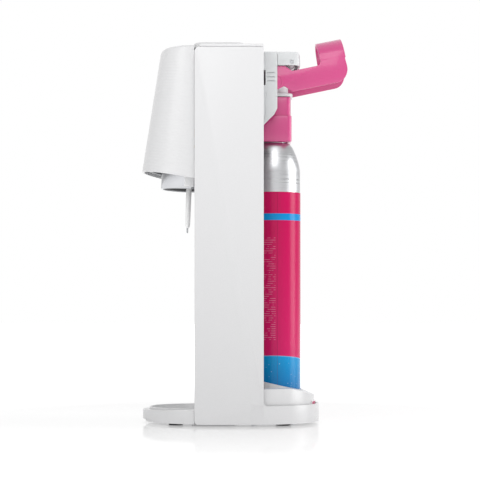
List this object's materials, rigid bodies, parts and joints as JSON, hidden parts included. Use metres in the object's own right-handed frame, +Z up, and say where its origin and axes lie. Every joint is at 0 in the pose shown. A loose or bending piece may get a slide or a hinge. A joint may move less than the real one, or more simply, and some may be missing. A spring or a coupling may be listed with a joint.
{
  "type": "soda carbonator",
  "caption": "Hand-operated countertop water carbonator, rear cover off: oval base, slab column, ribbed head with nozzle, gas cylinder and raised quick-connect lever.",
  "frame": {"origin": "centre of the bounding box's footprint, on the table under the feet", "axes": "+Z up; -Y is the machine's front, where the bottle stands; +Y is the rear, where the gas cylinder stands; X across its width"},
  "size_m": [0.145, 0.23, 0.4316],
  "materials": {
    "white_plastic": "satin white moulded plastic",
    "collar_side_plastic": "gloss white moulded plastic",
    "grey_plastic": "matt light grey moulded plastic",
    "dark_plastic": "matt near-black moulded plastic",
    "pink_plastic": "satin pink moulded plastic",
    "printed_label": "gloss printed film",
    "chrome": "polished",
    "aluminium": "brushed",
    "steel": "satin",
    "brass": "turned",
    "rubber": "matt",
    "hose_rubber": "satin"
  },
  "bodies": {
    "machine": {"main_housing": "white_plastic", "base_plate": "white_plastic", "front_base": "white_plastic", "foot_1": "rubber", "foot_2": "rubber", "foot_3": "rubber", "foot_4": "rubber", "head_cover": "white_plastic", "head_bottom_plate": "dark_plastic", "top_cover": "white_plastic", "button_spring": "steel", "inner_frame": "grey_plastic", "rear_cap": "grey_plastic", "actuator_pin": "steel", "receiver": "grey_plastic", "lever_axle_left": "steel", "lever_axle_right": "steel", "head_chassis": "grey_plastic", "gas_manifold": "brass", "gas_hose": "hose_rubber", "relief_valve_body": "brass", "relief_valve_stem": "steel", "holder_pin_left": "steel", "holder_pin_right": "steel", "cylinder_body": "aluminium", "cylinder_label": "printed_label", "valve_guard": "pink_plastic", "cylinder_valve": "brass", "cylinder_valve_seal": "rubber", "cylinder_seat": "white_plastic", "cylinder_tag": "pink_plastic", "frame_screw_1_left": "steel", "frame_screw_1_right": "steel", "frame_screw_2_left": "steel", "frame_screw_2_right": "steel", "receiver_screw_1": "steel", "receiver_screw_2": "steel", "chassis_screw_1": "steel", "chassis_screw_2": "steel", "base_screw_1": "steel", "base_screw_2": "steel", "base_screw_3": "steel", "base_screw_4": "steel"},
    "button": {"carbonation_button": "white_plastic"},
    "rocker": {"actuator_rocker": "grey_plastic"},
    "push_pin": {"push_pin": "steel"},
    "valve_pin": {"cylinder_valve_pin": "steel"},
    "lever": {"quick_connect_lever": "pink_plastic"},
    "plunger": {"seal_plunger": "brass", "plunger_gasket": "rubber"},
    "bottle_holder": {"bottle_collar": "chrome", "collar_insert": "dark_plastic", "bottle_seal": "rubber", "collar_yoke": "collar_side_plastic", "nozzle_carrier": "grey_plastic", "nozzle_tube": "grey_plastic", "nozzle_tip": "steel"},
    "tray": {"drip_tray": "white_plastic"}
  },
  "joints": [
    {"name": "button_press", "type": "slide", "parent": "machine", "child": "button", "axis": [0, 0, -1], "range_m": [0, 0.005], "stiffness_N_per_m": 400, "springref_m": -0.006, "deforming": ["button_spring"]},
    {"name": "actuator_rock", "type": "hinge", "parent": "machine", "child": "rocker", "pos_m": [0, 0.05227, 0.4021], "axis": [1, 0, 0], "range_deg": [0, 3.6]},
    {"name": "push_pin_slide", "type": "slide", "parent": "machine", "child": "push_pin", "axis": [0, 0, -1], "range_m": [0, 0.0012]},
    {"name": "valve_pin_slide", "type": "slide", "parent": "machine", "child": "valve_pin", "axis": [0, 0, -1], "range_m": [0, 0.0012]},
    {"name": "lever_lower", "type": "hinge", "parent": "machine", "child": "lever", "pos_m": [0, 0.03537, 0.3799], "axis": [-1, 0, 0], "range_deg": [0, 100]},
    {"name": "plunger_slide", "type": "slide", "parent": "machine", "child": "plunger", "axis": [0, 0, -1], "range_m": [0, 0.0017]},
    {"name": "bottle_holder_tilt", "type": "hinge", "parent": "machine", "child": "bottle_holder", "pos_m": [0, -0.04973, 0.296], "axis": [-1, 0, 0], "range_deg": [0, 10]},
    {"name": "drip_tray_lift", "type": "slide", "parent": "machine", "child": "tray", "axis": [0, 0, 1], "range_m": [0, 0.03]}
  ],
  "couplings": [
    {"joint": "actuator_rock", "follows": "button_press", "rad_per_m": 12.5},
    {"joint": "push_pin_slide", "follows": "button_press", "ratio": 0.2375},
    {"joint": "valve_pin_slide", "follows": "button_press", "ratio": 0.2375},
    {"joint": "plunger_slide", "follows": "lever_lower", "m_per_rad": 0.0009735}
  ]
}
